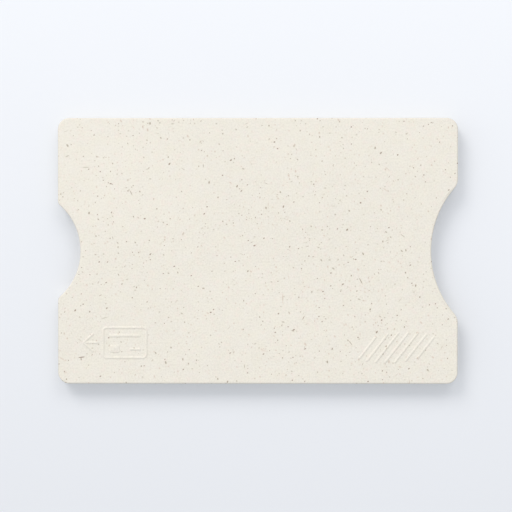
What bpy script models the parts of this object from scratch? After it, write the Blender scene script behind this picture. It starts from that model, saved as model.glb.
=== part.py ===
"""A rigid holder for one bank card: two moulded shells, welded edge to edge round the card's slot, each
with a thin foil shield bedded in its inner face.

It lies on its back. +X points to the mouth where the card goes in, +Y runs up across the face, and +Z
runs through the thickness. The origin is the middle of the back face.
"""
import math

import bmesh
import bpy
from mathutils import Matrix

MM = 0.001

# The card, a standard bank card with raised figures, and the room that it needs
CARD_LENGTH = 85.60 * MM
CARD_WIDTH = 53.98 * MM
CARD_HEIGHT = 1.24 * MM
CARD_SIDE_CLEARANCE = 0.50 * MM
CARD_FACE_CLEARANCE = 0.18 * MM

# The walls round the slot, and the roundings of the body
PLATE_THICKNESS = 1.20 * MM
SIDE_WALL = 2.76 * MM
END_WALL = 2.40 * MM
MOUTH_OVERHANG = 3.00 * MM
CORNER_RADIUS = 2.80 * MM
SLOT_CORNER_RADIUS = 3.00 * MM
RIM_RADIUS = 0.50 * MM
LEAD_IN = 0.25 * MM

# The two finger notches: a small one to push the card out, and a large one to grip it
PUSH_NOTCH_RADIUS = 13.90 * MM
PUSH_NOTCH_DEPTH = 5.10 * MM
PUSH_NOTCH_BLEND = 2.00 * MM
GRIP_NOTCH_RADIUS = 21.90 * MM
GRIP_NOTCH_DEPTH = 6.05 * MM
GRIP_NOTCH_BLEND = 3.90 * MM

# The welded joint: a tongue on the front shell stands in a groove in the back shell
WELD_GAP = 0.30 * MM
TONGUE_WIDTH = 0.80 * MM
TONGUE_HEIGHT = 0.80 * MM
TONGUE_CLEARANCE = 0.30 * MM
TONGUE_TURN_RADIUS = 1.40 * MM
TONGUE_SETBACK = 2.50 * MM

# The foil shields, and the shallow pockets that hold them
FOIL_THICKNESS = 0.15 * MM
FOIL_BED = 0.30 * MM
FOIL_EDGE_CLEARANCE = 0.30 * MM
FOIL_WALL_MARGIN = 1.00 * MM
FOIL_MOUTH_MARGIN = 4.60 * MM
FOIL_NOTCH_RIM = 1.60 * MM
FOIL_CORNER_RADIUS = 2.20 * MM
FOIL_BLEND = 1.50 * MM

# The low bumps across the slot's mouth that the card snaps past, and that then hold it in
BUMP_LENGTH = 6.00 * MM
BUMP_WIDTH = 1.40 * MM
BUMP_HEIGHT = 0.22 * MM
BUMP_CARD_CLEARANCE = 0.30 * MM
BUMP_SIDE_MARGIN = 1.20 * MM

# How finely round shapes are stepped, how far cutters run past what they cut, and how near points merge
ARC_TOLERANCE = 0.015 * MM
FEWEST_ARC_STEPS = 3
RIM_STEPS = 2
BUMP_RINGS = 8
BUMP_SEGMENTS = 20
OVERRUN = 1.00 * MM
MERGE_DISTANCE = 0.001 * MM
SMOOTH_ANGLE = math.radians(35)
QUARTER_TURN = math.pi / 2

# Finishes, as linear colours
STRAW_COLOUR = (0.855, 0.815, 0.730, 1.0)
STRAW_ROUGHNESS = 0.55
FOIL_COLOUR = (0.820, 0.825, 0.830, 1.0)
FOIL_ROUGHNESS = 0.32

# Sizes that follow from those above
SLOT_HEIGHT = CARD_HEIGHT + 2 * CARD_FACE_CLEARANCE
SLOT_HALF_WIDTH = CARD_WIDTH / 2 + CARD_SIDE_CLEARANCE
BODY_LENGTH = END_WALL + CARD_LENGTH + MOUTH_OVERHANG
BODY_THICKNESS = 2 * PLATE_THICKNESS + SLOT_HEIGHT
HALF_LENGTH = BODY_LENGTH / 2
HALF_WIDTH = SLOT_HALF_WIDTH + SIDE_WALL
SLOT_END_X = END_WALL - HALF_LENGTH
BACK_FLOOR_Z = PLATE_THICKNESS
FRONT_FLOOR_Z = BODY_THICKNESS - PLATE_THICKNESS
BACK_WELD_Z = (BODY_THICKNESS - WELD_GAP) / 2
FRONT_WELD_Z = (BODY_THICKNESS + WELD_GAP) / 2
PUSH_NOTCH_REACH = HALF_LENGTH + PUSH_NOTCH_RADIUS - PUSH_NOTCH_DEPTH
GRIP_NOTCH_REACH = HALF_LENGTH + GRIP_NOTCH_RADIUS - GRIP_NOTCH_DEPTH


def clear_scene():
    for item in list(bpy.data.objects):
        bpy.data.objects.remove(item)


def new_collection(name):
    collection = bpy.data.collections.new(name)
    bpy.context.scene.collection.children.link(collection)
    return collection


def new_material(name, colour, roughness, metallic):
    material = bpy.data.materials.new(name)
    material.use_nodes = True
    shader = material.node_tree.nodes["Principled BSDF"]
    shader.inputs["Base Color"].default_value = colour
    shader.inputs["Roughness"].default_value = roughness
    shader.inputs["Metallic"].default_value = metallic
    material.diffuse_color = colour
    return material


def arc(centre_x, centre_y, radius, start, end):
    """Points along an arc, with both its ends, stepped so that no chord strays past the tolerance."""
    step = 2 * math.acos(1 - ARC_TOLERANCE / radius)
    steps = max(FEWEST_ARC_STEPS, math.ceil(abs(end - start) / step))
    angles = [start + (end - start) * i / steps for i in range(steps + 1)]
    return [(centre_x + radius * math.cos(a), centre_y + radius * math.sin(a)) for a in angles]


def notched_end(reach, half_width, corner, notch_reach, notch_radius, blend):
    """The outline round the +X end of a plate, from its lower corner to its upper corner.

    A circular notch, centred notch_reach from the middle, bites into the end. The blend arcs touch both
    the end line and the notch circle. Where the circle stays clear of the end, the end is straight.
    """
    points = arc(reach - corner, corner - half_width, corner, -QUARTER_TURN, 0)
    if notch_reach - reach < notch_radius:
        across = notch_reach - reach + blend
        blend_y = math.sqrt((notch_radius + blend) ** 2 - across**2)
        turn = math.atan2(blend_y, across)
        points += arc(reach - blend, -blend_y, blend, 0, turn)
        points += arc(notch_reach, 0, notch_radius, math.pi + turn, math.pi - turn)[1:-1]
        points += arc(reach - blend, blend_y, blend, -turn, 0)
    return points + arc(reach - corner, half_width - corner, corner, 0, QUARTER_TURN)


def turned_half_way(points):
    return [(-x, -y) for x, y in points]


def mirrored_across(points):
    return [(x, -y) for x, y in reversed(points)]


def body_outline():
    grip_end = notched_end(
        HALF_LENGTH, HALF_WIDTH, CORNER_RADIUS, GRIP_NOTCH_REACH, GRIP_NOTCH_RADIUS, GRIP_NOTCH_BLEND
    )
    push_end = notched_end(
        HALF_LENGTH, HALF_WIDTH, CORNER_RADIUS, PUSH_NOTCH_REACH, PUSH_NOTCH_RADIUS, PUSH_NOTCH_BLEND
    )
    return grip_end + turned_half_way(push_end)


def pocket_outline(inset):
    """The foil pocket's outline, drawn in by inset. It keeps a rim round both notches, and its corners
    and blends keep their centres as it is drawn in."""
    half_width = SLOT_HALF_WIDTH - FOIL_WALL_MARGIN - inset
    corner = FOIL_CORNER_RADIUS - inset
    blend = FOIL_BLEND - inset
    rim = FOIL_NOTCH_RIM + inset
    grip_end = notched_end(
        HALF_LENGTH - FOIL_MOUTH_MARGIN - inset, half_width, corner,
        GRIP_NOTCH_REACH, GRIP_NOTCH_RADIUS + rim, blend,
    )
    push_end = notched_end(
        -SLOT_END_X - FOIL_WALL_MARGIN - inset, half_width, corner,
        PUSH_NOTCH_REACH, PUSH_NOTCH_RADIUS + rim, blend,
    )
    return grip_end + turned_half_way(push_end)


def slot_outline():
    """The card slot's outline: round corners at the closed end, and open past the mouth."""
    corner_x = SLOT_END_X + SLOT_CORNER_RADIUS
    corner_y = SLOT_HALF_WIDTH - SLOT_CORNER_RADIUS
    points = [(HALF_LENGTH + OVERRUN, -SLOT_HALF_WIDTH), (HALF_LENGTH + OVERRUN, SLOT_HALF_WIDTH)]
    points += arc(corner_x, corner_y, SLOT_CORNER_RADIUS, QUARTER_TURN, math.pi)
    return points + arc(corner_x, -corner_y, SLOT_CORNER_RADIUS, math.pi, 3 * QUARTER_TURN)


def wall_outlines(half_width):
    """Two L-shaped strips, half_width to each side of the middle of the walls. Each runs from the mouth
    along a side wall, round the corner and along the closed end to just short of the push notch."""
    wall_x = END_WALL / 2 - HALF_LENGTH
    wall_y = HALF_WIDTH - SIDE_WALL / 2
    turn_x = wall_x + TONGUE_TURN_RADIUS
    turn_y = wall_y - TONGUE_TURN_RADIUS
    blend_x = PUSH_NOTCH_REACH - HALF_LENGTH + PUSH_NOTCH_BLEND
    notch_y = math.sqrt((PUSH_NOTCH_RADIUS + PUSH_NOTCH_BLEND) ** 2 - blend_x**2)
    mouth_x = HALF_LENGTH - TONGUE_SETBACK + half_width
    stop_y = notch_y + TONGUE_SETBACK - half_width
    outer = arc(turn_x, turn_y, TONGUE_TURN_RADIUS + half_width, QUARTER_TURN, math.pi)
    inner = arc(turn_x, turn_y, TONGUE_TURN_RADIUS - half_width, math.pi, QUARTER_TURN)
    strip = [(mouth_x, wall_y + half_width)] + outer + [(wall_x - half_width, stop_y)]
    strip += [(wall_x + half_width, stop_y)] + inner + [(mouth_x, wall_y - half_width)]
    return [strip, mirrored_across(strip)]


def mouth_path(beyond):
    """The body's outline across the slot's mouth, between the slot's two sides, moved outwards."""
    mouth_x = HALF_LENGTH + beyond
    outline = notched_end(
        mouth_x, HALF_WIDTH, CORNER_RADIUS,
        GRIP_NOTCH_REACH, GRIP_NOTCH_RADIUS - beyond, GRIP_NOTCH_BLEND + beyond,
    )
    stop_y = SLOT_HALF_WIDTH - LEAD_IN
    between = [point for point in outline if abs(point[1]) < stop_y]
    return [(mouth_x, -stop_y)] + between + [(mouth_x, stop_y)]


def as_mesh(source):
    """Puts a closed mesh of a curve object's evaluated form in the curve's place."""
    bpy.context.scene.collection.objects.link(source)
    bpy.context.view_layer.update()
    evaluated = source.evaluated_get(bpy.context.evaluated_depsgraph_get())
    mesh = bpy.data.meshes.new_from_object(evaluated)
    place = source.matrix_world.copy()
    name = source.name
    bpy.data.objects.remove(source)
    shape = bmesh.new()
    shape.from_mesh(mesh)
    bmesh.ops.remove_doubles(shape, verts=shape.verts, dist=MERGE_DISTANCE)
    bmesh.ops.recalc_face_normals(shape, faces=shape.faces)
    shape.to_mesh(mesh)
    shape.free()
    solid = bpy.data.objects.new(name, mesh)
    solid.matrix_world = place
    return solid


def flat_curve(name, dimensions, paths, closed):
    curve = bpy.data.curves.new(name, "CURVE")
    curve.dimensions = dimensions
    for path in paths:
        spline = curve.splines.new("POLY")
        spline.points.add(len(path) - 1)
        spline.use_cyclic_u = closed
        for point, (x, y) in zip(spline.points, path):
            point.co = (x, y, 0, 1)
    return curve


def plate(name, outlines, low, high, rim=0):
    """Flat outlines made solid between two heights, with a rounding of radius rim round both faces."""
    curve = flat_curve(name, "2D", outlines, True)
    curve.fill_mode = "BOTH"
    curve.extrude = (high - low) / 2 - rim
    curve.bevel_depth = rim
    curve.bevel_resolution = RIM_STEPS
    curve.offset = -rim
    source = bpy.data.objects.new(name, curve)
    source.location.z = (high + low) / 2
    return as_mesh(source)


def chamfer_bar(name, floor, open_side):
    """A bar of diamond section along the mouth's edge of one plate, on the side that the slot is open to.

    Its diagonal is four chamfer widths, and its middle is half a chamfer width outside both faces of the
    plate, so that one of its flanks cuts the chamfer and all its corners are clear of the plate.
    """
    beyond = LEAD_IN / 2
    curve = flat_curve(name, "3D", [mouth_path(beyond)], False)
    curve.twist_mode = "Z_UP"
    curve.bevel_depth = 2 * LEAD_IN
    curve.bevel_resolution = 0
    curve.use_fill_caps = True
    source = bpy.data.objects.new(name, curve)
    source.location.z = floor + open_side * beyond
    return as_mesh(source)


def block(name, low, high):
    """A box over the whole plan of the body and a little more, between two heights."""
    shape = bmesh.new()
    bmesh.ops.create_cube(shape, size=1)
    spans = (BODY_LENGTH + 2 * OVERRUN, 2 * (HALF_WIDTH + OVERRUN), high - low)
    bmesh.ops.scale(shape, vec=spans, verts=shape.verts)
    mesh = bpy.data.meshes.new(name)
    shape.to_mesh(mesh)
    shape.free()
    solid = bpy.data.objects.new(name, mesh)
    solid.location.z = (low + high) / 2
    return solid


def bumps(name, floor, open_side):
    """Two long low domes across a plate's inner face, just outside the card's end and near the slot's
    sides. Each is the cap of an ellipsoid whose half height is twice the dome's height, and whose middle
    lies in the plate."""
    shape = bmesh.new()
    widening = 1 / math.sqrt(1 - (1 / 2) ** 2)
    half_length = widening * BUMP_LENGTH / 2
    spans = Matrix.Diagonal((widening * BUMP_WIDTH / 2, half_length, 2 * BUMP_HEIGHT, 1))
    bump_x = SLOT_END_X + CARD_LENGTH + BUMP_CARD_CLEARANCE + BUMP_WIDTH / 2
    bump_y = SLOT_HALF_WIDTH - BUMP_SIDE_MARGIN - BUMP_LENGTH / 2
    for side in (1, -1):
        place = Matrix.Translation((bump_x, side * bump_y, 0)) @ spans
        bmesh.ops.create_uvsphere(
            shape, u_segments=BUMP_SEGMENTS, v_segments=BUMP_RINGS, radius=1, matrix=place
        )
    mesh = bpy.data.meshes.new(name)
    shape.to_mesh(mesh)
    shape.free()
    solid = bpy.data.objects.new(name, mesh)
    solid.location.z = floor - open_side * BUMP_HEIGHT
    return solid


def combine(body, tool, operation, cutters):
    """Cuts a tool from a body, or joins it on, and keeps the tool as a wire guide."""
    cutters.objects.link(tool)
    tool.hide_render = True
    tool.display_type = "WIRE"
    modifier = body.modifiers.new(tool.name, "BOOLEAN")
    modifier.operation = operation
    modifier.solver = "EXACT"
    modifier.object = tool


def finish_piece(piece, material, pieces):
    pieces.objects.link(piece)
    piece.data.materials.append(material)
    piece.data.shade_smooth()
    piece.data.set_sharp_from_angle(angle=SMOOTH_ANGLE)


def make_shell(name, waste, floor, open_side, pieces, cutters, material):
    """One moulded half of the body: the rounded blank, less all beyond its weld face, the card slot, the
    foil pocket and the chamfer along the mouth, and with the two bumps on its inner face."""
    shell = plate(name, [body_outline()], 0, BODY_THICKNESS, RIM_RADIUS)
    finish_piece(shell, material, pieces)
    combine(shell, block(f"{name}_waste", *waste), "DIFFERENCE", cutters)
    slot = plate(f"{name}_slot", [slot_outline()], BACK_FLOOR_Z, FRONT_FLOOR_Z)
    combine(shell, slot, "DIFFERENCE", cutters)
    pocket_floor = floor - open_side * (FOIL_BED + FOIL_THICKNESS)
    heights = sorted((pocket_floor, BODY_THICKNESS / 2))
    pocket = plate(f"{name}_pocket", [pocket_outline(0)], *heights)
    combine(shell, pocket, "DIFFERENCE", cutters)
    combine(shell, chamfer_bar(f"{name}_lead_in", floor, open_side), "DIFFERENCE", cutters)
    combine(shell, bumps(f"{name}_bumps", floor, open_side), "UNION", cutters)
    return shell


def make_back_shell(pieces, cutters, material):
    waste = (BACK_WELD_Z, BODY_THICKNESS + OVERRUN)
    shell = make_shell("back_shell", waste, BACK_FLOOR_Z, 1, pieces, cutters, material)
    half_width = TONGUE_WIDTH / 2 + TONGUE_CLEARANCE
    groove_floor = FRONT_WELD_Z - TONGUE_HEIGHT - TONGUE_CLEARANCE
    groove = plate("weld_groove", wall_outlines(half_width), groove_floor, BODY_THICKNESS)
    combine(shell, groove, "DIFFERENCE", cutters)


def make_front_shell(pieces, cutters, material):
    waste = (-OVERRUN, FRONT_WELD_Z)
    shell = make_shell("front_shell", waste, FRONT_FLOOR_Z, -1, pieces, cutters, material)
    root = (FRONT_WELD_Z + BODY_THICKNESS) / 2
    tongue = plate("weld_tongue", wall_outlines(TONGUE_WIDTH / 2), FRONT_WELD_Z - TONGUE_HEIGHT, root)
    combine(shell, tongue, "UNION", cutters)


def make_shields(pieces, material):
    """The two foils, each flush with the inner face of its shell, over the film that bonds it."""
    outline = pocket_outline(FOIL_EDGE_CLEARANCE)
    back = plate("back_shield", [outline], BACK_FLOOR_Z - FOIL_THICKNESS, BACK_FLOOR_Z)
    front = plate("front_shield", [outline], FRONT_FLOOR_Z, FRONT_FLOOR_Z + FOIL_THICKNESS)
    finish_piece(back, material, pieces)
    finish_piece(front, material, pieces)


def main():
    clear_scene()
    pieces = new_collection("card_holder")
    cutters = new_collection("cutters")
    straw = new_material("straw_plastic", STRAW_COLOUR, STRAW_ROUGHNESS, 0)
    foil = new_material("shield_foil", FOIL_COLOUR, FOIL_ROUGHNESS, 1)
    make_back_shell(pieces, cutters, straw)
    make_front_shell(pieces, cutters, straw)
    make_shields(pieces, foil)


main()
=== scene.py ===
"""The looks of a rigid holder for one bank card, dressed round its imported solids.

Both moulded shells, the foil shields and the raised marks on the face are surfaces worked out here. The
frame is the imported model: +X points to the mouth where the card goes in, +Y runs up across the face, +Z
runs through the thickness, and the back face lies on Z = 0. Angles in the shape functions are in degrees.
"""
import math

import bmesh
import bpy
import numpy as np
from bpy.props import FloatProperty, FloatVectorProperty, IntProperty, PointerProperty
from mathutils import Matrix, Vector


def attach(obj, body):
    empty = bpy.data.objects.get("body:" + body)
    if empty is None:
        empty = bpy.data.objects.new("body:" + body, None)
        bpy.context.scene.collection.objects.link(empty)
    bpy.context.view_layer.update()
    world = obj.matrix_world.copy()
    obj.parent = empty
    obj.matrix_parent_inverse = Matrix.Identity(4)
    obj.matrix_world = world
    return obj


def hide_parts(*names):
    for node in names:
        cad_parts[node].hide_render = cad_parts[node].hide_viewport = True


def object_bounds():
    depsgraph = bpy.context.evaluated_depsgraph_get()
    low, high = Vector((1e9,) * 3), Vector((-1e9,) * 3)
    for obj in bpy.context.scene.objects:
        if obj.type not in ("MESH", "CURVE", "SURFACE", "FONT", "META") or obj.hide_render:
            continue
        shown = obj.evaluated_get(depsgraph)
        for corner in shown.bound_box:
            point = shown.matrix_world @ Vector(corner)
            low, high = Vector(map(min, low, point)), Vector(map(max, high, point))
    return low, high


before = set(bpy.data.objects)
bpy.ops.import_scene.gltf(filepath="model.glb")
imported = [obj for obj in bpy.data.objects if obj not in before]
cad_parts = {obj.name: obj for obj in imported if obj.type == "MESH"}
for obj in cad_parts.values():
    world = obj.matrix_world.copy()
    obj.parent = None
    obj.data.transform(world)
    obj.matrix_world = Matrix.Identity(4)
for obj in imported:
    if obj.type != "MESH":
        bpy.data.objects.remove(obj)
cad_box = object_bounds()

bl_info = {
    "name": "Card holder",
    "version": (1, 0, 0),
    "blender": (4, 5, 0),
    "location": "View3D > Sidebar > Card holder",
    "description": "Builds the shells, shields and marks of a rigid bank card holder, and its stage",
    "category": "Add Mesh",
}

MM = 0.001

# The body's reach on each axis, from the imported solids
HALF_LENGTH = cad_box[1].x
HALF_WIDTH = cad_box[1].y
THICKNESS = cad_box[1].z

# Heights from a shell's own outer face, and the walls round the slot
PLATE = 1.20 * MM
SIDE_WALL = 2.76 * MM
END_WALL = 2.40 * MM
SLOT_CORNER_RADIUS = 3.00 * MM
SLOT_HALF_WIDTH = HALF_WIDTH - SIDE_WALL
SLOT_END_X = END_WALL - HALF_LENGTH
WELD_GAP = 0.02 * MM
WELD_HEIGHT = (THICKNESS - WELD_GAP) / 2

# The weld's tongue on the front shell, the groove that it stands in, and where both stop near the notch.
# Where the wall runs out, the seam's chamfer and the tongue keep to these shares of its width.
TONGUE_HALF_WIDTH = 0.40 * MM
TONGUE_HEIGHT = 0.75 * MM
GROOVE_CLEARANCE = 0.10 * MM
TONGUE_SETBACK = 2.10 * MM
TONGUE_WALL_SHARE = 0.25
SEAM_WALL_SHARE = 0.2

# The foil pockets
POCKET_DEPTH = 0.45 * MM
POCKET_MARGIN = 1.00 * MM
POCKET_MOUTH_MARGIN = 4.60 * MM
POCKET_NOTCH_RIM = 1.60 * MM
POCKET_CORNER_RADIUS = 2.20 * MM
POCKET_BLEND = 1.50 * MM

# The foils: their clearance in the pocket, how far both faces lie below the slot's floor, and their
# ripples, each with its radians per millimetre along X and Y, its phase and its share of the height
FOIL_CLEARANCE = 0.25 * MM
FOIL_UNDERSIDE_DEPTH = 0.16 * MM
FOIL_TOP_DEPTH = 0.04 * MM
RIPPLE_HEIGHT = 0.012 * MM
RIPPLES = ((0.21, 0.13, 0.0, 1.0), (0.09, -0.31, 1.0, 0.6), (0.55, 0.40, 2.0, 0.4))

# The bumps across the slot's mouth
BUMP_SPANS = (0.70 * MM, 3.00 * MM, 0.22 * MM)
BUMP_PLACE = (43.50 * MM, 23.29 * MM)

# The marks: how far their tops stay below the solid's face, and how deep they root in the front shell
FACE_CLEARANCE = 0.005 * MM
MARK_ROOT = 0.02 * MM

# The card symbol's parts: the way from the symbol's middle to each one's own in X and Y, then its length
# and height. Its lines share one width, so in place of a height they have a slant in degrees.
CARD = (2.2 * MM, 0.0, 10.8 * MM, 7.8 * MM)
CARD_CORNER = 1.3 * MM
STRIPE = (2.2 * MM, 1.6 * MM, 7.8 * MM, 1.2 * MM)
CHIP = (-0.1 * MM, -1.4 * MM, 2.6 * MM, 2.1 * MM)
CHIP_CORNER = 0.6 * MM
CHIP_SHOULDER = 0.35 * MM
LINE_ON_CARD = (4.6 * MM, -1.5 * MM, 3.0 * MM, 0.0)
ARROW_LINES = (
    (-6.1 * MM, 1.0 * MM, 3.7 * MM, 42.0),
    (-6.1 * MM, -1.0 * MM, 3.7 * MM, -42.0),
    (-5.4 * MM, 0.0, 3.4 * MM, 0.0),
)

# How many pitches past the outer ribs the ellipse of their lengths ends
RIB_FALL = 1.4

# How finely the surfaces are stepped: stations on each run of an outline, then rows and segments
NOTCH_STATIONS = 22
OPEN_STATIONS = 7
BLEND_STATIONS = 10
END_STATIONS = 3
STOP_STATIONS = 6
CORNER_STATIONS = 17
SIDE_STATIONS = 24
RIM_STEPS = 8
BUMP_RINGS = 15
BUMP_SEGMENTS = 30
FOIL_ROWS = 9
MARK_STEPS = 6
MARK_CORNER_STATIONS = 7
CARD_CORNER_STATIONS = 9

# The power that sets the foil's rows closer together towards its edge, the narrow flat band beside the
# rim, the half length of a plate's middle line, the distance within which points become one, and the
# angle from which an edge is sharp
FOIL_ROW_POWER = 0.8
FACE_SUPPORT = 0.03 * MM
MIDDLE_REACH = 33.0 * MM
MERGE_DISTANCE = 0.0005 * MM
SHARP_ANGLE = math.radians(35)

# The mottle between the flecks: each noise's scale per millimetre, detail, roughness and weight, the
# slope per millimetre along X, Y and Z of painted light that makes the cream paler towards the closed
# end and +Y, and the darkest and palest tone of the cream
MOTTLE = ((2.6, 2.0, 0.6, 0.62), (0.35, 3.0, 0.6, 0.15), (0.028, 1.0, 0.5, 0.12))
PAINTED_LIGHT_SLOPE = (-0.0005, 0.0009, 0.0)
DARKEST_SHADE = 0.91
PALEST_SHADE = 1.06

# What the cream is multiplied by: where it is plain, where it blushes, and by its lean, to which noise
# adds a share of the swing
PLAIN_TINT = (0.994, 0.998, 1.0)
BLUSH_TINT = (1.008, 0.979, 0.989)
LEAN_TINT = (1, 1, 0.949)
LEAN_SWING = (0, 0, 0.085)

# The three sizes of flecks: cells per millimetre, half sizes in millimetres, share of the cells that
# hold straw, shift of the pattern, and raggedness
FLECK_LAYERS = (
    (1.30, (0.18, 0.13, 0.12), 0.80, (3.1, 7.7, 1.3), 0.9),
    (0.85, (0.30, 0.155, 0.165), 0.40, (11.9, 2.3, 5.7), 0.8),
    (0.40, (0.70, 0.10, 0.13), 0.80, (5.3, 13.1, 9.2), 0.5),
)

# All flecks: their smallest scale and its spread, the reaches over which straw and halo fade in, how
# well they cover, the hues over which they turn ruddy, and how dense they are where thin and thick
SMALLEST_FLECK = 0.55
FLECK_SPREAD = 0.65
STRAW_EDGE = (1.08, 0.78)
HALO_EDGE = (2.0, 1.0)
STRAW_COVER = 0.85
HALO_COVER = 0.42
RUDDY_HUES = (0.45, 0.15)
STRAW_DENSITY = (0.55, 1.35)

# How much mottle and straw change the roughness, and how deep the grain and the foil's crinkles are
MOTTLE_ROUGHNESS = 0.12
STRAW_ROUGHNESS = 0.12
GRAIN_DEPTH = 0.012 * MM
CRINKLE_DEPTH = 0.010 * MM

# The stage: the floor's width in metres, how far it lies below the holder, where its colours end
# along Y in millimetres, and the camera's near limit in metres
FLOOR_WIDTH = 6.0
FLOOR_DEPTH = 0.01 * MM
FLOOR_FADE = 58.0
CAMERA_NEAR_LIMIT = 0.01


class ShellSizes(bpy.types.PropertyGroup):
    """The roundings of the moulded shells."""

    corner: FloatProperty(
        name="Corner radius", description="Radius of the body's four corners",
        default=2.60 * MM, min=0.5 * MM, max=4 * MM, unit="LENGTH", precision=5,
    )
    rim: FloatProperty(
        name="Rim radius", description="Rounding round the edge of both faces",
        default=0.34 * MM, min=0.05 * MM, max=0.6 * MM, unit="LENGTH", precision=5,
    )
    seam: FloatProperty(
        name="Seam chamfer", description="Chamfer on the outer edge of each weld face",
        default=0.12 * MM, min=0.01 * MM, max=0.3 * MM, unit="LENGTH", precision=5,
    )
    lead_in: FloatProperty(
        name="Lead-in", description="Chamfer along the inner edge of the slot's mouth and notches",
        default=0.25 * MM, min=0.05 * MM, max=0.5 * MM, unit="LENGTH", precision=5,
    )
    grip_radius: FloatProperty(
        name="Grip notch radius", description="Radius of the large notch at the slot's mouth",
        default=21.90 * MM, min=10 * MM, unit="LENGTH", precision=5,
    )
    grip_depth: FloatProperty(
        name="Grip notch depth", description="How deep the large notch reaches into the body",
        default=6.05 * MM, min=1 * MM, unit="LENGTH", precision=5,
    )
    grip_blend: FloatProperty(
        name="Grip notch blend", description="Radius that eases the large notch into the end",
        default=3.00 * MM, min=0.6 * MM, unit="LENGTH", precision=5,
    )
    push_radius: FloatProperty(
        name="Push notch radius", description="Radius of the small notch at the closed end",
        default=13.90 * MM, min=5 * MM, unit="LENGTH", precision=5,
    )
    push_depth: FloatProperty(
        name="Push notch depth", description="How deep the small notch reaches into the body",
        default=5.10 * MM, min=3 * MM, unit="LENGTH", precision=5,
    )
    push_blend: FloatProperty(
        name="Push notch blend", description="Radius that eases the small notch into the end",
        default=1.40 * MM, min=0.6 * MM, unit="LENGTH", precision=5,
    )


class MarkSizes(bpy.types.PropertyGroup):
    """The raised marks on the front face: a card symbol and a ribbed grip."""

    relief: FloatProperty(
        name="Relief", description="How far the marks stand out of the front face",
        default=0.14 * MM, min=0.02 * MM, max=0.2 * MM, unit="LENGTH", precision=5,
    )
    line: FloatProperty(
        name="Line width", description="Width of the card symbol's lines",
        default=0.95 * MM, min=0.2 * MM, unit="LENGTH", precision=5,
    )
    symbol_place: FloatVectorProperty(
        name="Symbol place", description="Middle of the card symbol on the face",
        size=2, default=(-32.5 * MM, -20.9 * MM), unit="LENGTH", precision=5,
    )
    rib_place: FloatVectorProperty(
        name="Grip place", description="Middle of the ribbed grip on the face",
        size=2, default=(31.6 * MM, -22.0 * MM), unit="LENGTH", precision=5,
    )
    rib_count: IntProperty(
        name="Ribs", description="Number of ribs in the grip", default=7, min=1,
    )
    rib_pitch: FloatProperty(
        name="Rib pitch", description="Distance from one rib to the next",
        default=2.20 * MM, min=0.8 * MM, unit="LENGTH", precision=5,
    )
    rib_width: FloatProperty(
        name="Rib width", description="Width of one rib",
        default=0.90 * MM, min=0.2 * MM, unit="LENGTH", precision=5,
    )
    rib_length: FloatProperty(
        name="Rib length", description="Length of the middle rib; the others get shorter outwards",
        default=9.40 * MM, min=1 * MM, unit="LENGTH", precision=5,
    )
    rib_slant: FloatProperty(
        name="Rib slant", description="Angle from the body's length to the ribs",
        default=math.radians(52), min=0, max=math.radians(90), subtype="ANGLE",
    )


class Finishes(bpy.types.PropertyGroup):
    """Colours and surface of the straw-filled plastic and of the foil."""

    plastic: FloatVectorProperty(
        name="Plastic", description="Cream of the plastic between the flecks",
        subtype="COLOR", size=3, default=(0.838, 0.802, 0.719), min=0, max=1,
    )
    pale_straw: FloatVectorProperty(
        name="Pale straw", description="Colour of the palest flecks",
        subtype="COLOR", size=3, default=(0.592, 0.569, 0.481), min=0, max=1,
    )
    brown_straw: FloatVectorProperty(
        name="Brown straw", description="Colour of the brown flecks",
        subtype="COLOR", size=3, default=(0.346, 0.290, 0.211), min=0, max=1,
    )
    rosy_straw: FloatVectorProperty(
        name="Rosy straw", description="Colour of the palest ruddy flecks",
        subtype="COLOR", size=3, default=(0.656, 0.540, 0.453), min=0, max=1,
    )
    russet_straw: FloatVectorProperty(
        name="Russet straw", description="Colour of the darker ruddy flecks",
        subtype="COLOR", size=3, default=(0.475, 0.226, 0.160), min=0, max=1,
    )
    dark_straw: FloatVectorProperty(
        name="Dark straw", description="Colour of the darkest flecks",
        subtype="COLOR", size=3, default=(0.224, 0.130, 0.098), min=0, max=1,
    )
    halo: FloatVectorProperty(
        name="Halo", description="Colour round the flecks",
        subtype="COLOR", size=3, default=(0.748, 0.692, 0.598), min=0, max=1,
    )
    ruddy_halo: FloatVectorProperty(
        name="Ruddy halo", description="Colour round the ruddy flecks",
        subtype="COLOR", size=3, default=(0.762, 0.672, 0.577), min=0, max=1,
    )
    roughness: FloatProperty(
        name="Roughness", description="Roughness of the moulded plastic",
        default=0.56, min=0, max=1, subtype="FACTOR",
    )
    foil: FloatVectorProperty(
        name="Foil", description="Colour of the shield foil",
        subtype="COLOR", size=3, default=(0.820, 0.825, 0.830), min=0, max=1,
    )


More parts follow.
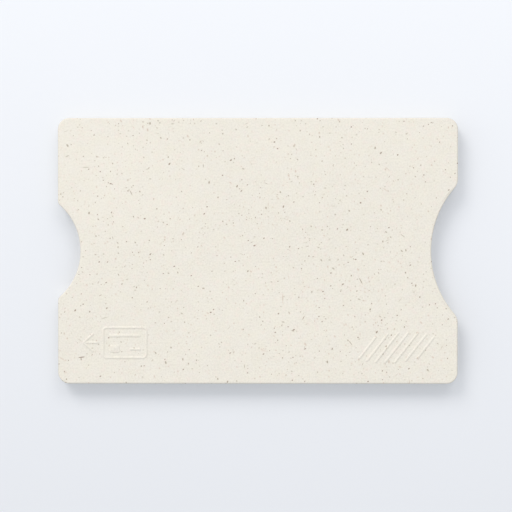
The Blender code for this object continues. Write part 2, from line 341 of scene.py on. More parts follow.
class StageSettings(bpy.types.PropertyGroup):
    """The floor, the light and the camera."""

    floor_far: FloatVectorProperty(
        name="Floor, far", description="Colour of the floor beyond the holder",
        subtype="COLOR", size=3, default=(0.914, 0.942, 0.988), min=0, max=1,
    )
    floor_near: FloatVectorProperty(
        name="Floor, near", description="Colour of the floor on this side of the holder",
        subtype="COLOR", size=3, default=(0.792, 0.817, 0.859), min=0, max=1,
    )
    floor_glow: FloatVectorProperty(
        name="Floor glow", description="Colour of the light that the floor throws up on the holder",
        subtype="COLOR", size=3, default=(0.40, 0.42, 0.45), min=0, max=1,
    )
    backdrop: FloatVectorProperty(
        name="Backdrop", description="Colour seen beyond the floor, and in shiny surfaces",
        subtype="COLOR", size=3, default=(0.86, 0.89, 0.94), min=0, max=1,
    )
    sky_colour: FloatVectorProperty(
        name="Sky colour", description="Colour of the even light all round",
        subtype="COLOR", size=3, default=(0.961, 0.977, 1.0), min=0, max=1,
    )
    lamp_colour: FloatVectorProperty(
        name="Lamp colour", description="Colour of the key and the fill light",
        subtype="COLOR", size=3, default=(1.0, 0.955, 0.910), min=0, max=1,
    )
    overhead: FloatProperty(
        name="Overhead light", description="Strength of the lamp above", default=0.475, min=0,
    )
    key: FloatProperty(
        name="Key light", description="Strength of the soft lamp beyond the far side and the closed end",
        default=0.995, min=0,
    )
    fill: FloatProperty(
        name="Fill light", description="Strength of the soft lamp beyond the far side and the mouth",
        default=0.38, min=0,
    )
    side: FloatProperty(
        name="Side light", description="Strength of the low lamp beyond the closed end",
        default=0.12, min=0,
    )
    sky: FloatProperty(
        name="Sky light", description="Strength of the even light all round", default=0.608, min=0,
    )
    lens: FloatProperty(
        name="Lens", description="Focal length of the camera",
        default=135, min=10, subtype="DISTANCE_CAMERA",
    )
    aim: FloatVectorProperty(
        name="Aim", description="The point of the face in the middle of the picture",
        size=2, default=(-0.39 * MM, -1.14 * MM), unit="LENGTH", precision=5,
    )
    camera_height: FloatProperty(
        name="Camera height", description="Height of the camera over the face",
        default=436.55 * MM, min=100 * MM, unit="LENGTH", precision=5,
    )
    tilt: FloatVectorProperty(
        name="Tilt", description="How far the camera leans out to +X and to +Y",
        size=2, default=(math.radians(0.55), math.radians(0.92)), unit="ROTATION", precision=5,
    )


def arc(centre, radius, start, end, count, outward=1):
    """Stations on a circle: the centre plus the radius times the unit vector at each of count angles,
    spaced evenly from start to end. Each station's normal is that unit vector times outward."""
    angle = np.radians(np.linspace(start, end, count))
    normal = np.stack([np.cos(angle), np.sin(angle)], axis=1)
    return np.array(centre) + radius * normal, outward * normal


def line(start, end, count, normal=(1, 0)):
    """Stations on a straight line: count points spaced evenly from start to end, with one normal."""
    share = np.linspace(0, 1, count)[:, None]
    points = (1 - share) * np.array(start) + share * np.array(end)
    return points, np.tile(np.array(normal, float), (count, 1))


def end_runs(reach, half_width, corner, notch_reach, notch_radius, blend, open_y=0.0, setback=0.0):
    """Half of a plate's +X end, from the middle of its notch up round its corner, as six runs.

    The notch is a circle centred notch_reach along X. The blend arc touches the end line and that
    circle, so its centre is a blend radius inside the line, and the two radii added together from the
    circle's centre. The notch is split where its height is open_y and the straight part a setback past
    the blend, or each in its middle.
    """
    across = notch_reach - reach + blend
    blend_y = math.sqrt((notch_radius + blend) ** 2 - across**2)
    turn = math.degrees(math.atan2(blend_y, across))
    split = math.degrees(math.asin(open_y / notch_radius)) if open_y else turn / 2
    middle_y = blend_y + setback if setback else (blend_y + half_width - corner) / 2
    notch = (notch_reach, 0)
    return [
        arc(notch, notch_radius, 180, 180 - split, NOTCH_STATIONS, outward=-1),
        arc(notch, notch_radius, 180 - split, 180 - turn, OPEN_STATIONS, outward=-1),
        arc((reach - blend, blend_y), blend, -turn, 0, BLEND_STATIONS),
        line((reach, blend_y), (reach, middle_y), END_STATIONS),
        line((reach, middle_y), (reach, half_width - corner), STOP_STATIONS),
        arc((reach - corner, half_width - corner), corner, 0, 90, CORNER_STATIONS),
    ]


def facing_back(runs):
    """The same runs at the -X end: X changes sign, and the order turns so that they go on anticlockwise."""
    flip = np.array((-1, 1))
    return [(points[::-1] * flip, normals[::-1] * flip) for points, normals in reversed(runs)]


def with_side(grip_end, push_end):
    """The upper half of an outline: the grip end, the straight side, and the push end."""
    side = line(grip_end[-1][0][-1], push_end[0][0][0], SIDE_STATIONS, (0, 1))
    return [*grip_end, side, *push_end]


def body_runs(sizes):
    """The upper half of the body's outline, split at the push notch where the slot breaks into it, and
    on the closed end where the weld's tongue stops."""
    push_centre = HALF_LENGTH + sizes.push_radius - sizes.push_depth
    open_y = math.sqrt(sizes.push_radius**2 - (push_centre + SLOT_END_X) ** 2)
    grip_end = end_runs(
        HALF_LENGTH, HALF_WIDTH, sizes.corner,
        HALF_LENGTH + sizes.grip_radius - sizes.grip_depth, sizes.grip_radius, sizes.grip_blend,
    )
    push_end = end_runs(
        HALF_LENGTH, HALF_WIDTH, sizes.corner, push_centre, sizes.push_radius, sizes.push_blend,
        open_y, TONGUE_SETBACK,
    )
    return with_side(grip_end, facing_back(push_end))


def pocket_runs(sizes, inset=0.0):
    """The upper half of a foil pocket's outline, drawn in by inset, with a rim left round both notches."""
    half_width = SLOT_HALF_WIDTH - POCKET_MARGIN - inset
    corner = POCKET_CORNER_RADIUS - inset
    blend = POCKET_BLEND - inset
    rim = POCKET_NOTCH_RIM + inset
    grip_end = end_runs(
        HALF_LENGTH - POCKET_MOUTH_MARGIN - inset, half_width, corner,
        HALF_LENGTH + sizes.grip_radius - sizes.grip_depth, sizes.grip_radius + rim, blend,
    )
    push_end = end_runs(
        -SLOT_END_X - POCKET_MARGIN - inset, half_width, corner,
        HALF_LENGTH + sizes.push_radius - sizes.push_depth, sizes.push_radius + rim, blend,
    )
    return with_side(grip_end, facing_back(push_end))


def slot_points(body, lead_in):
    """The slot's wall line, one point beside each station of the body's upper half.

    Beside open stations it is the edge of the floor, a lead-in inside the body, and no further out than
    the slot's half width. It keeps that half width past the mouth's corner and along the side, and round
    the closed corner it is an arc. Along the closed end it keeps the slot's end line, at the body's own
    height once that is near the notch.
    """
    top = SLOT_HALF_WIDTH
    corner_x = SLOT_END_X + SLOT_CORNER_RADIUS
    corner_y = top - SLOT_CORNER_RADIUS
    runs = [np.minimum(points - lead_in * normals, (HALF_LENGTH, top)) for points, normals in body[:5]]
    mouth_corner = body[5][0]
    runs.append(np.stack([mouth_corner[:, 0], np.full(len(mouth_corner), top)], axis=1))
    runs.append(line((mouth_corner[-1, 0], top), (corner_x, top), len(body[6][0]))[0])
    runs.append(arc((corner_x, corner_y), SLOT_CORNER_RADIUS, 90, 180, len(body[7][0]))[0])
    stop = (SLOT_END_X, body[8][0][-1, 1])
    runs.append(line((SLOT_END_X, corner_y), stop, len(body[8][0]))[0])
    for points, _ in body[9:12]:
        runs.append(np.stack([np.full(len(points), SLOT_END_X), points[:, 1]], axis=1))
    points, normals = body[12]
    runs.append(points - lead_in * normals)
    return np.concatenate(runs)


def marked_runs(body, *chosen):
    """True at each station of the chosen runs, and False at the others."""
    return np.concatenate([np.full(len(points), i in chosen) for i, (points, _) in enumerate(body)])


def middle_line(points):
    """The nearest points of the plate's middle line, which a flat face's rulings run to."""
    return np.stack([np.clip(points[:, 0], -MIDDLE_REACH, MIDDLE_REACH), 0 * points[:, 0]], axis=1)


def lay(points, heights):
    """Plan points with heights added, as one row of a grid."""
    return np.column_stack([points, np.broadcast_to(heights, len(points))])


def both_halves(rows):
    """A closed grid from rows along the upper half: its stations, then their mirror images in Y, turned
    round so that they go on anticlockwise."""
    upper = np.stack(rows)
    lower = upper[:, ::-1] * np.array((1, -1, 1))
    return np.concatenate([upper, lower], axis=1)


def shell_grid(sizes, face, tongue_half, tongue_end):
    """One moulded shell, as a closed profile carried round the body's outline.

    At each station the profile runs from the plate's middle line out to the rim, over it as a quarter
    circle, up the side, and then along a wall or round an open edge. A wall has a chamfer at the seam, a
    weld face with a tongue or groove, and the slot's side. An open edge has only the lead-in chamfer,
    so all the wall's rows lie in one point there. From the floor's edge the profile runs to the foil
    pocket, down its side and back to the middle line. Heights are measured from the shell's outer side,
    whose face lies at the height given.
    """
    body = body_runs(sizes)
    points = np.concatenate([run[0] for run in body])
    normals = np.concatenate([run[1] for run in body])
    is_open = marked_runs(body, 0, 1, 2, 3, 4, 12)
    has_tongue = marked_runs(body, 6, 7, 8)
    slot = slot_points(body, sizes.lead_in)
    pocket = np.concatenate([run[0] for run in pocket_runs(sizes)])

    edge = points - (sizes.rim + FACE_SUPPORT) * normals
    rows = [lay(middle_line(edge), face), lay(edge, face)]
    for angle in np.linspace(0, math.pi / 2, RIM_STEPS + 1):
        inset = sizes.rim * (1 - math.sin(angle))
        rows.append(lay(points - inset * normals, face + sizes.rim * (1 - math.cos(angle))))
    open_edge = lay(points, PLATE - sizes.lead_in)
    rows.append(open_edge)

    width = np.linalg.norm(slot - points, axis=1)[:, None]
    across = (slot - points) / np.maximum(width, MERGE_DISTANCE)
    middle = (points + slot) / 2
    seam = np.minimum(sizes.seam, SEAM_WALL_SHARE * width)
    half = np.minimum(tongue_half, TONGUE_WALL_SHARE * width)
    end_height = np.where(has_tongue, tongue_end, WELD_HEIGHT)
    push_x = sizes.push_depth - sizes.push_radius - HALF_LENGTH
    from_push = slot - np.array((push_x, 0))
    push_gap = np.linalg.norm(from_push, axis=1) - sizes.push_radius
    mouth_gap = HALF_LENGTH - slot[:, 0]
    cut = np.clip(sizes.lead_in - np.minimum(push_gap, mouth_gap), 0, sizes.lead_in)
    inward = from_push / np.linalg.norm(from_push, axis=1)[:, None]
    inward[mouth_gap < push_gap] = (-1, 0)
    wall = [
        lay(points, WELD_HEIGHT - seam[:, 0]),
        lay(points + seam * across, WELD_HEIGHT),
        lay(middle - half * across, WELD_HEIGHT),
        lay(middle - half * across, end_height),
        lay(middle + half * across, end_height),
        lay(middle + half * across, WELD_HEIGHT),
        lay(slot, WELD_HEIGHT),
        lay(slot, PLATE - cut),
    ]
    rows += [np.where(is_open[:, None], open_edge, row) for row in wall]
    floor_edge = np.where(is_open[:, None], slot, slot + cut[:, None] * inward)
    rows += [lay(floor_edge, PLATE), lay(pocket, PLATE)]
    rows += [lay(plan, PLATE - POCKET_DEPTH) for plan in (pocket, middle_line(pocket))]
    return both_halves(rows)


def bump_grid(x, y):
    """A half-sunk ellipsoid on the slot's floor: its spans times the unit sphere's point at each pair of
    latitude, along the rows, and longitude, along the columns."""
    latitude, longitude = np.meshgrid(
        np.radians(np.linspace(-90, 90, BUMP_RINGS)),
        np.radians(np.linspace(0, 360, BUMP_SEGMENTS, endpoint=False)), indexing="ij",
    )
    sphere = np.stack([
        np.cos(latitude) * np.cos(longitude), np.cos(latitude) * np.sin(longitude), np.sin(latitude),
    ], axis=2)
    return np.array(BUMP_SPANS) * sphere + np.array((x, y, PLATE))


def foil_grid(sizes):
    """A foil sheet bedded in its pocket: rows run from the middle line out to the edge underneath, up
    the edge, and back over the top. A sum of sine waves in X and Y lifts both sides alike."""
    edge = np.concatenate([run[0] for run in pocket_runs(sizes, FOIL_CLEARANCE)])
    middle = middle_line(edge)
    shares = np.linspace(0, 1, FOIL_ROWS) ** FOIL_ROW_POWER
    flat = [middle + share * (edge - middle) for share in shares]
    rows = [lay(points, PLATE - FOIL_UNDERSIDE_DEPTH) for points in flat]
    rows += [lay(points, PLATE - FOIL_TOP_DEPTH) for points in reversed(flat)]
    grid = both_halves(rows)
    x, y = grid[:, :, 0] / MM, grid[:, :, 1] / MM
    waves = sum(
        share * np.sin(along * x + across * y + phase) for along, across, phase, share in RIPPLES
    )
    grid[:, :, 2] += RIPPLE_HEIGHT * waves
    return grid


def rounded_polygon(corners, radius, count=MARK_CORNER_STATIONS):
    """Stations round a convex polygon, anticlockwise, with an arc at each corner.

    An arc's centre lies a radius inside both sides, which is radius times the sum of the sides' unit
    normals, over one plus their dot product, back from the corner. Its angle runs from one normal to
    the next.
    """
    corners = np.array(corners, float)
    sides = np.roll(corners, -1, axis=0) - corners
    sides /= np.linalg.norm(sides, axis=1)[:, None]
    after = np.stack([sides[:, 1], -sides[:, 0]], axis=1)
    before = np.roll(after, 1, axis=0)
    dot = np.sum(before * after, axis=1)[:, None]
    centres = corners - radius * (before + after) / (1 + dot)
    start = np.arctan2(before[:, 1], before[:, 0])
    sweep = (np.arctan2(after[:, 1], after[:, 0]) - start) % (2 * math.pi)
    angle = start[:, None] + sweep[:, None] * np.linspace(0, 1, count)
    normals = np.stack([np.cos(angle), np.sin(angle)], axis=2)
    return (centres[:, None] + radius * normals).reshape(-1, 2), normals.reshape(-1, 2)


def box_corners(x, y, width, height):
    """The corners of an upright rectangle about a middle, anticlockwise."""
    return [
        (x - width / 2, y - height / 2), (x + width / 2, y - height / 2),
        (x + width / 2, y + height / 2), (x - width / 2, y + height / 2),
    ]


def shoulder(points, normals, width, low, high):
    """Rows from an outline in over a width, whose height follows the squared sine of the way in."""
    rows = []
    for share in np.linspace(0, 1, MARK_STEPS + 1):
        height = low + (high - low) * math.sin(share * math.pi / 2) ** 2
        rows.append(lay(points - share * width * normals, height))
    return rows


def raised_pad(outline, width, low, high):
    """A low pad: from the middle of its underside out to the outline, up a shoulder of the given width,
    and to the middle of its top."""
    points, normals = outline
    middle = np.broadcast_to(points.mean(axis=0), points.shape)
    return np.stack([lay(middle, low), *shoulder(points, normals, width, low, high), lay(middle, high)])


def raised_bar(x, y, width, height, low, high, slant=0.0):
    """A low bar with round ends: a pad whose shoulder is half of its shorter side, so that its two
    sides meet in a crest along its middle. It is turned about its middle by the slant, in degrees."""
    short = min(width, height) / 2
    points, normals = rounded_polygon(box_corners(0, 0, width, height), short)
    turn = math.radians(slant)
    rotation = np.array([(math.cos(turn), math.sin(turn)), (-math.sin(turn), math.cos(turn))])
    points, normals = points @ rotation + (x, y), normals @ rotation
    ridge = lay(points - short * normals, low)
    return np.stack([ridge, *shoulder(points, normals, short, low, high)])


def raised_line(outline, width, low, high):
    """A closed line in relief: across its width its height follows the squared sine of a half turn, and
    its flat underside joins the last row to the first."""
    points, normals = outline
    rows = []
    for share in np.linspace(0, 1, 2 * MARK_STEPS + 1):
        height = low + (high - low) * math.sin(share * math.pi) ** 2
        rows.append(lay(points - share * width * normals, height))
    rows.append(rows[0])
    return np.stack(rows)


def card_symbol_grids(marks, low, high):
    """A card in outline with its stripe and chip, and an arrow that points the way it goes in."""
    x, y = marks.symbol_place
    card, stripe, chip = ((x + across, y + up, *spans) for across, up, *spans in (CARD, STRIPE, CHIP))
    lines = [
        raised_bar(x + across, y + up, length, marks.line, low, high, slant)
        for across, up, length, slant in (LINE_ON_CARD, *ARROW_LINES)
    ]
    card_outline = rounded_polygon(box_corners(*card), CARD_CORNER, CARD_CORNER_STATIONS)
    chip_outline = rounded_polygon(box_corners(*chip), CHIP_CORNER)
    return [
        raised_line(card_outline, marks.line, low, high),
        raised_bar(*stripe, low, high),
        raised_pad(chip_outline, CHIP_SHOULDER, low, high),
        *lines,
    ]


def grip_rib_grids(marks, low, high):
    """Slanted ribs side by side, whose lengths follow an ellipse."""
    x, y = marks.rib_place
    half = (marks.rib_count - 1) / 2
    slant = math.degrees(marks.rib_slant)
    grids = []
    for number in range(marks.rib_count):
        aside = number - half
        length = marks.rib_length * math.sqrt(1 - (aside / (half + RIB_FALL)) ** 2)
        middle = x + aside * marks.rib_pitch
        grids.append(raised_bar(middle, y, length, marks.rib_width, low, high, slant))
    return grids


def turned_over(grid):
    """A grid built up from Z = 0, hung from the front face instead. Its rows turn round, so that its
    faces still point outwards."""
    over = grid[::-1].copy()
    over[:, :, 2] = THICKNESS - over[:, :, 2]
    return over


def skin(name, grids, material, slot, *nodes):
    """A closed mesh from grids of points, each closed across its columns. Each square of a grid is a
    face, points that coincide become one, and faces that close up on themselves go."""
    points, faces, offset = [], [], 0
    for grid in grids:
        rows, columns = grid.shape[:2]
        low = np.arange(rows - 1)[:, None] * columns + offset
        here = np.arange(columns)
        beside = (here + 1) % columns
        squares = np.stack([low + here, low + beside, low + columns + beside, low + columns + here], axis=2)
        points.append(grid.reshape(-1, 3))
        faces.append(squares.reshape(-1, 4))
        offset += rows * columns
    mesh = bpy.data.meshes.new(name)
    mesh.from_pydata(np.concatenate(points), [], np.concatenate(faces).tolist())
    shape = bmesh.new()
    shape.from_mesh(mesh)
    bmesh.ops.remove_doubles(shape, verts=shape.verts, dist=MERGE_DISTANCE)
    loose = [edge for edge in shape.edges if not edge.link_faces]
    bmesh.ops.delete(shape, geom=loose, context="EDGES")
    unclosed = [edge for edge in shape.edges if len(edge.link_faces) != 2]
    if unclosed:
        where = unclosed[0].verts[0].co
        raise RuntimeError(f"{name} isn't closed: {len(unclosed)} edges, one of them at {where[:]}")
    shape.to_mesh(mesh)
    shape.free()
    mesh.shade_smooth()
    mesh.set_sharp_from_angle(angle=SHARP_ANGLE)
    mesh.materials.append(material)
    piece = bpy.data.objects.new(name, mesh)
    bpy.context.scene.collection.objects.link(piece)
    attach(piece, "root")
    if nodes:
        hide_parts(*nodes)
    return piece


class Recipe:
    """A material in the making, with short ways to add its nodes and wire them."""

    def __init__(self, name):
        self.material = bpy.data.materials.new(name)
        self.material.use_nodes = True
        self.nodes = self.material.node_tree.nodes
        self.shader = self.nodes["Principled BSDF"]

    def put(self, socket, value):
        """Links a socket to the input, or sets it as the input's value."""
        if isinstance(value, bpy.types.NodeSocket):
            self.material.node_tree.links.new(value, socket)
        else:
            socket.default_value = value

    def add(self, kind, inputs, **settings):
        """A new node with its settings made and its inputs put."""
        node = self.nodes.new(kind)
        for name, value in settings.items():
            setattr(node, name, value)
        for name, value in inputs.items():
            self.put(node.inputs[name], value)
        return node

    def finish(self, **sockets):
        """Sets the shader's own sockets; an underscore in a name stands for a space."""
        for name, value in sockets.items():
            self.put(self.shader.inputs[name.replace("_", " ")], value)
        return self.material

    def number(self, operation, *values):
        """The result of a sum on numbers."""
        inputs = dict(enumerate(values))
        return self.add("ShaderNodeMath", inputs, operation=operation).outputs["Value"]

    def vector(self, operation, *values):
        """The result of a sum on vectors, which is a number for a length or a dot product."""
        node = self.add("ShaderNodeVectorMath", dict(enumerate(values)), operation=operation)
        return node.outputs["Value" if operation in ("LENGTH", "DOT_PRODUCT") else "Vector"]

    def millimetres(self):
        """The place on the object, in millimetres."""
        place = self.add("ShaderNodeTexCoord", {}).outputs["Object"]
        return self.vector("MULTIPLY", place, (1 / MM,) * 3)

    def noise(self, place, scale, detail=2.0, roughness=0.5, output="Fac"):
        """Smooth noise, whose values lie about 0.5."""
        inputs = {"Vector": place, "Scale": scale, "Detail": detail, "Roughness": roughness}
        return self.add("ShaderNodeTexNoise", inputs).outputs[output]

    def ease(self, value, start, end, low=0.0, high=1.0):
        """A smooth step from low to high as the value goes from start to end."""
        inputs = {"Value": value, "From Min": start, "From Max": end, "To Min": low, "To Max": high}
        return self.add("ShaderNodeMapRange", inputs, interpolation_type="SMOOTHSTEP").outputs["Result"]

    def blend(self, share, first, second):
        """A colour that goes from the first to the second with the share."""
        inputs = {0: share, 6: first, 7: second}
        return self.add("ShaderNodeMix", inputs, data_type="RGBA").outputs[2]

    def multiply(self, first, second):
        """The product of two colours, channel by channel."""
        inputs = {0: 1.0, 6: first, 7: second}
        return self.add("ShaderNodeMix", inputs, data_type="RGBA", blend_type="MULTIPLY").outputs[2]

    def ramp(self, value, *stops):
        """A colour that follows the value through stops, each a position and a colour."""
        node = self.add("ShaderNodeValToRGB", {"Fac": value})
        elements = node.color_ramp.elements
        while len(elements) < len(stops):
            elements.new(0.5)
        for element, (position, colour) in zip(elements, stops):
            element.position = position
            element.color = (*colour, 1)
        return node.outputs["Color"]

    def bump(self, height, depth):
        """Normals tipped by a height pattern from 0 to 1 that stands for the given depth."""
        return self.add("ShaderNodeBump", {"Height": height, "Distance": depth}).outputs["Normal"]


def flecks(recipe, place, per_mm, half_sizes, share, shift, ragged):
    """One fleck of straw in some of the cells of a pattern of random points in space.

    The way from a cell's point is turned about Z by a random angle and divided by the fleck's half
    sizes, in millimetres, and by a random scale. Where its length, roughened by noise, is under 1, it is
    straw. Gives that as a share, a wider halo round it, and a random tone and hue for the fleck.
    """
    cells = recipe.vector("MULTIPLY_ADD", place, (per_mm,) * 3, shift)
    inputs = {"Vector": cells, "Scale": 1.0, "Randomness": 1.0}
    points = recipe.add("ShaderNodeTexVoronoi", inputs, voronoi_dimensions="3D")
    chance = recipe.add("ShaderNodeTexWhiteNoise", {"Vector": points.outputs["Color"]})
    parts = recipe.add("ShaderNodeSeparateColor", {"Color": chance.outputs["Color"]})
    way = recipe.vector("SUBTRACT", cells, points.outputs["Position"])
    angle = recipe.number("MULTIPLY", parts.outputs["Red"], 2 * math.pi)
    inputs = {"Vector": way, "Angle": angle}
    turned = recipe.add("ShaderNodeVectorRotate", inputs, rotation_type="Z_AXIS").outputs["Vector"]
    spans = tuple(per_mm * half for half in half_sizes)
    reach = recipe.vector("LENGTH", recipe.vector("DIVIDE", turned, spans))
    squared = recipe.number("POWER", parts.outputs["Green"], 2.0)
    scale = recipe.number("MULTIPLY_ADD", squared, FLECK_SPREAD, SMALLEST_FLECK)
    reach = recipe.number("DIVIDE", reach, scale)
    rough = recipe.number("MULTIPLY_ADD", recipe.noise(place, 7.0, 1.0), ragged, -ragged / 2)
    reach = recipe.number("ADD", reach, rough)
    present = recipe.number("LESS_THAN", parts.outputs["Blue"], share)
    straw = recipe.number("MULTIPLY", recipe.ease(reach, *STRAW_EDGE), present)
    halo = recipe.number("MULTIPLY", recipe.ease(reach, *HALO_EDGE), present)
    return straw, halo, chance.outputs["Value"], parts.outputs["Red"]


def straw_tint(recipe, tone, cream, pale, middle, dark):
    """The colour of a fleck of straw by its tone: from halfway to cream, over pale and middle, to dark."""
    faint = tuple((c + p) / 2 for c, p in zip(cream, pale))
    return recipe.ramp(tone, (0.0, faint), (0.26, pale), (0.49, pale), (0.76, middle), (0.99, dark))


def straw_plastic(recipe, finishes):
    """Cream plastic filled with chopped straw: three sizes of flecks in its depth, cut by its surface,
    over a fine mottle that blushes pink in places and leans slightly to yellow or blue, with painted
    light that makes it a little paler towards the closed end and +Y. About a third of the flecks are
    ruddy. Straw lies thicker in some places than in others and is rougher than the plastic, which has a
    fine matt grain."""
    place = recipe.millimetres()
    cream, dark = finishes.plastic, finishes.dark_straw
    pale, brown = finishes.pale_straw, finishes.brown_straw
    rosy, russet = finishes.rosy_straw, finishes.russet_straw
    halo_colour, ruddy_halo = (*finishes.halo, 1), (*finishes.ruddy_halo, 1)
    mottle = [recipe.noise(place, *pattern) for *pattern, _ in MOTTLE]
    # Painted light: the mottle starts from a slope that makes the cream paler towards the closed end and +Y
    mottle_and_painted_light = recipe.vector("DOT_PRODUCT", place, PAINTED_LIGHT_SLOPE)
    for noise, (*_, weight) in zip(mottle, MOTTLE):
        mottle_and_painted_light = recipe.number("MULTIPLY_ADD", noise, weight, mottle_and_painted_light)
    dim = tuple(DARKEST_SHADE * c for c in cream)
    bright = tuple(PALEST_SHADE * c for c in cream)
    colour = recipe.ramp(mottle_and_painted_light, (0.285, dim), (0.445, cream), (0.595, bright))
    blush = recipe.noise(place, 0.9, 2.0, 0.6)
    blush = recipe.ramp(blush, (0.52, PLAIN_TINT), (0.70, BLUSH_TINT))
    lean = recipe.noise(place, 0.45, 3.0, 0.55, "Color")
    lean = recipe.vector("MULTIPLY_ADD", lean, LEAN_SWING, LEAN_TINT)
    colour = recipe.multiply(recipe.multiply(colour, blush), lean)

    thick = recipe.ease(recipe.noise(place, 0.11, 2.0, 0.6), 0.32, 0.68, *STRAW_DENSITY)
    cover = 0.0
    for per_mm, half_sizes, share, shift, ragged in FLECK_LAYERS:
        present = recipe.number("MULTIPLY", thick, share)
        straw, halo, tone, hue = flecks(recipe, place, per_mm, half_sizes, present, shift, ragged)
        plain = straw_tint(recipe, tone, cream, pale, brown, dark)
        ruddy = straw_tint(recipe, tone, cream, rosy, russet, dark)
        ruddiness = recipe.ease(hue, *RUDDY_HUES)
        tint = recipe.blend(ruddiness, plain, ruddy)
        fringe = recipe.blend(ruddiness, halo_colour, ruddy_halo)
        colour = recipe.blend(recipe.number("MULTIPLY", halo, HALO_COVER), colour, fringe)
        colour = recipe.blend(recipe.number("MULTIPLY", straw, STRAW_COVER), colour, tint)
        cover = recipe.number("MAXIMUM", cover, straw)
    least = finishes.roughness - MOTTLE_ROUGHNESS / 2
    roughness = recipe.number("MULTIPLY_ADD", mottle[0], MOTTLE_ROUGHNESS, least)
    roughness = recipe.number("MULTIPLY_ADD", cover, STRAW_ROUGHNESS, roughness)
    normal = recipe.bump(recipe.noise(place, 3.6, 3.0, 0.55), GRAIN_DEPTH)
    return recipe.finish(Base_Color=colour, Roughness=roughness, Specular_IOR_Level=0.35, Normal=normal)


def shield_foil(recipe, finishes):
    """Soft rolled aluminium: satin, with faint rolling lines along X and shallow crinkles."""
    place = recipe.millimetres()
    lines = recipe.noise(recipe.vector("MULTIPLY", place, (0.15, 9.0, 1.0)), 1.0, 3.0, 0.6)
    crinkle = recipe.noise(place, 0.5, 4.0, 0.6)
    dull = tuple(0.9 * c for c in finishes.foil)
    colour = recipe.ramp(lines, (0.3, dull), (0.7, finishes.foil))
    roughness = recipe.ease(lines, 0.3, 0.7, 0.26, 0.40)
    height = recipe.number("MULTIPLY_ADD", crinkle, 8.0, lines)
    normal = recipe.bump(height, CRINKLE_DEPTH)
    return recipe.finish(Base_Color=colour, Roughness=roughness, Metallic=1.0, Normal=normal)


def floor_paint(recipe, stage):
    """Matt floor paint that goes evenly from its far colour to its near one along Y. The light that it
    throws up has a colour of its own."""
    place = recipe.millimetres()
    along = recipe.add("ShaderNodeSeparateXYZ", {"Vector": place}).outputs["Y"]
    inputs = {"Value": along, "From Min": FLOOR_FADE, "From Max": -FLOOR_FADE}
    share = recipe.add("ShaderNodeMapRange", inputs).outputs["Result"]
    colour = recipe.blend(share, (*stage.floor_far, 1), (*stage.floor_near, 1))
    rays = recipe.add("ShaderNodeLightPath", {}).outputs
    seen = recipe.number("MAXIMUM", rays["Is Camera Ray"], rays["Is Glossy Ray"])
    colour = recipe.blend(seen, (*stage.floor_glow, 1), colour)
    return recipe.finish(Base_Color=colour, Roughness=1.0, Specular_IOR_Level=0.0)


def material(name, make):
    """The material of that name, made if it isn't there yet."""
    return bpy.data.materials.get(name) or make(Recipe(name), bpy.context.scene.card_holder_finishes)


class CARDHOLDER_OT_shells(bpy.types.Operator):
    """Builds the two moulded shells with the bumps that hold the card"""

    bl_idname = "card_holder.shells"
    bl_label = "Shells"

    def execute(self, context):
        sizes = context.scene.card_holder_shell
        drop = context.scene.card_holder_marks.relief + FACE_CLEARANCE
        plastic = material("straw_filled_plastic", straw_plastic)
        x, y = BUMP_PLACE
        bumps = [bump_grid(x, y), bump_grid(x, -y)]
        groove = TONGUE_HALF_WIDTH + GROOVE_CLEARANCE
        groove_floor = WELD_HEIGHT - TONGUE_HEIGHT - GROOVE_CLEARANCE
        back = [shell_grid(sizes, 0, groove, groove_floor), *bumps]
        tongue_end = WELD_HEIGHT + TONGUE_HEIGHT
        front = [shell_grid(sizes, drop, TONGUE_HALF_WIDTH, tongue_end), *bumps]
        skin("back_shell_moulding", back, plastic, "straw_plastic", "back_shell")
        front = [turned_over(grid) for grid in front]
        skin("front_shell_moulding", front, plastic, "straw_plastic", "front_shell")
        return {"FINISHED"}


class CARDHOLDER_OT_shields(bpy.types.Operator):
    """Builds the foil shield in each shell's pocket"""

    bl_idname = "card_holder.shields"
    bl_label = "Shields"

    def execute(self, context):
        sheet = foil_grid(context.scene.card_holder_shell)
        foil = material("rolled_foil", shield_foil)
        skin("back_shield_foil", [sheet], foil, "shield_foil", "back_shield")
        skin("front_shield_foil", [turned_over(sheet)], foil, "shield_foil", "front_shield")
        return {"FINISHED"}


class CARDHOLDER_OT_marks(bpy.types.Operator):
    """Builds the raised marks on the front face"""

    bl_idname = "card_holder.marks"
    bl_label = "Raised marks"

    def execute(self, context):
        marks = context.scene.card_holder_marks
        high = THICKNESS - FACE_CLEARANCE
        low = high - marks.relief - MARK_ROOT
        plastic = material("straw_filled_plastic", straw_plastic)
        skin("card_symbol", card_symbol_grids(marks, low, high), plastic, "straw_plastic")
        skin("grip_ribs", grip_rib_grids(marks, low, high), plastic, "straw_plastic")
        return {"FINISHED"}


def add_lamp(name, strength, softness, towards, colour=(1, 1, 1)):
    """A sun lamp in the given direction, whose disc spans the angle of its softness, in degrees."""
    lamp = bpy.data.lights.new(name, "SUN")
    lamp.energy = strength
    lamp.color = colour
    lamp.angle = math.radians(softness)
    holder = bpy.data.objects.new(name, lamp)
    holder.rotation_euler = Vector(towards).to_track_quat("Z", "Y").to_euler()
    bpy.context.scene.collection.objects.link(holder)


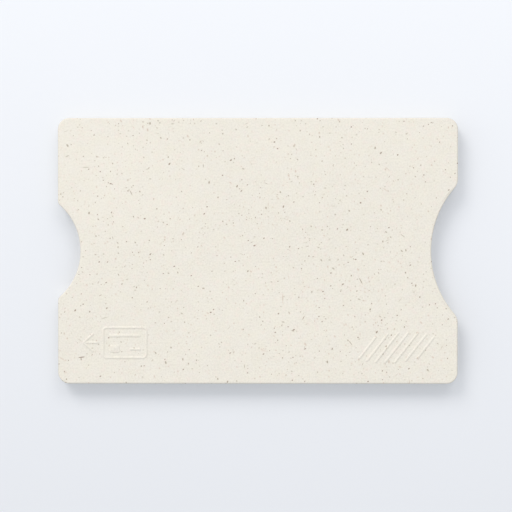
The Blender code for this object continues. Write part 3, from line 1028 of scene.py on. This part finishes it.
class CARDHOLDER_OT_stage(bpy.types.Operator):
    """Builds the pale floor, the light and the camera"""

    bl_idname = "card_holder.stage"
    bl_label = "Stage"

    def execute(self, context):
        scene = context.scene
        stage = scene.card_holder_stage
        corners = [(x, y, -FLOOR_DEPTH) for x, y in box_corners(0, 0, FLOOR_WIDTH, FLOOR_WIDTH)]
        mesh = bpy.data.meshes.new("floor")
        mesh.from_pydata(corners, [], [(0, 1, 2, 3)])
        mesh.materials.append(floor_paint(Recipe("floor_paint"), stage))
        floor = bpy.data.objects.new("floor", mesh)
        scene.collection.objects.link(floor)

        add_lamp("overhead_lamp", stage.overhead, 7, (0, 0, 1))
        add_lamp("key_lamp", stage.key, 30, (-1.0, 1.6, 1.37), stage.lamp_colour)
        add_lamp("fill_lamp", stage.fill, 30, (1.0, 2.75, 2.45), stage.lamp_colour)
        add_lamp("side_lamp", stage.side, 46, (-1.0, 0.3, 0.35))

        scene.view_settings.view_transform = "Standard"
        scene.world = bpy.data.worlds.new("even_light")
        scene.world.use_nodes = True
        tree = scene.world.node_tree
        shown = tree.nodes["Background"]
        shown.inputs["Color"].default_value = (*stage.backdrop, 1)
        lit = tree.nodes.new("ShaderNodeBackground")
        lit.inputs["Color"].default_value = (*stage.sky_colour, 1)
        lit.inputs["Strength"].default_value = stage.sky
        rays = tree.nodes.new("ShaderNodeLightPath")
        either = tree.nodes.new("ShaderNodeMath")
        either.operation = "MAXIMUM"
        mix = tree.nodes.new("ShaderNodeMixShader")
        tree.links.new(rays.outputs["Is Camera Ray"], either.inputs[0])
        tree.links.new(rays.outputs["Is Glossy Ray"], either.inputs[1])
        tree.links.new(either.outputs[0], mix.inputs[0])
        tree.links.new(lit.outputs[0], mix.inputs[1])
        tree.links.new(shown.outputs[0], mix.inputs[2])
        tree.links.new(mix.outputs[0], tree.nodes["World Output"].inputs["Surface"])

        camera = bpy.data.cameras.new("camera")
        camera.lens = stage.lens
        camera.clip_start = CAMERA_NEAR_LIMIT
        stand = bpy.data.objects.new("camera", camera)
        lean_x, lean_y = stage.tilt
        x = stage.aim[0] + stage.camera_height * math.tan(lean_x)
        y = stage.aim[1] + stage.camera_height * math.tan(lean_y)
        stand.location = (x, y, THICKNESS + stage.camera_height)
        stand.rotation_euler = (-lean_y, lean_x, 0)
        scene.collection.objects.link(stand)
        scene.camera = stand
        return {"FINISHED"}


class CARDHOLDER_PT_sidebar(bpy.types.Panel):
    """The card holder's sizes, finishes and steps"""

    bl_idname = "CARDHOLDER_PT_sidebar"
    bl_label = "Card holder"
    bl_space_type = "VIEW_3D"
    bl_region_type = "UI"
    bl_category = "Card holder"

    def draw(self, context):
        steps = [
            ("card_holder_shell", "card_holder.shells"),
            ("card_holder_finishes", "card_holder.shields"),
            ("card_holder_marks", "card_holder.marks"),
            ("card_holder_stage", "card_holder.stage"),
        ]
        for group, step in steps:
            box = self.layout.box()
            settings = getattr(context.scene, group)
            for name in settings.__annotations__:
                box.prop(settings, name)
            box.operator(step)


CLASSES = (
    ShellSizes,
    MarkSizes,
    Finishes,
    StageSettings,
    CARDHOLDER_OT_shells,
    CARDHOLDER_OT_shields,
    CARDHOLDER_OT_marks,
    CARDHOLDER_OT_stage,
    CARDHOLDER_PT_sidebar,
)


def register():
    """Makes the classes known and gives the scene its settings."""
    for kind in CLASSES:
        bpy.utils.register_class(kind)
    bpy.types.Scene.card_holder_shell = PointerProperty(type=ShellSizes)
    bpy.types.Scene.card_holder_marks = PointerProperty(type=MarkSizes)
    bpy.types.Scene.card_holder_finishes = PointerProperty(type=Finishes)
    bpy.types.Scene.card_holder_stage = PointerProperty(type=StageSettings)


def unregister():
    """Takes the settings and the classes away again."""
    del bpy.types.Scene.card_holder_stage
    del bpy.types.Scene.card_holder_finishes
    del bpy.types.Scene.card_holder_marks
    del bpy.types.Scene.card_holder_shell
    for kind in reversed(CLASSES):
        bpy.utils.unregister_class(kind)


def main():
    """Registers the add-on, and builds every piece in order."""
    register()
    bpy.ops.card_holder.shells()
    bpy.ops.card_holder.shields()
    bpy.ops.card_holder.marks()
    bpy.ops.card_holder.stage()


if __name__ == "__main__":
    main()
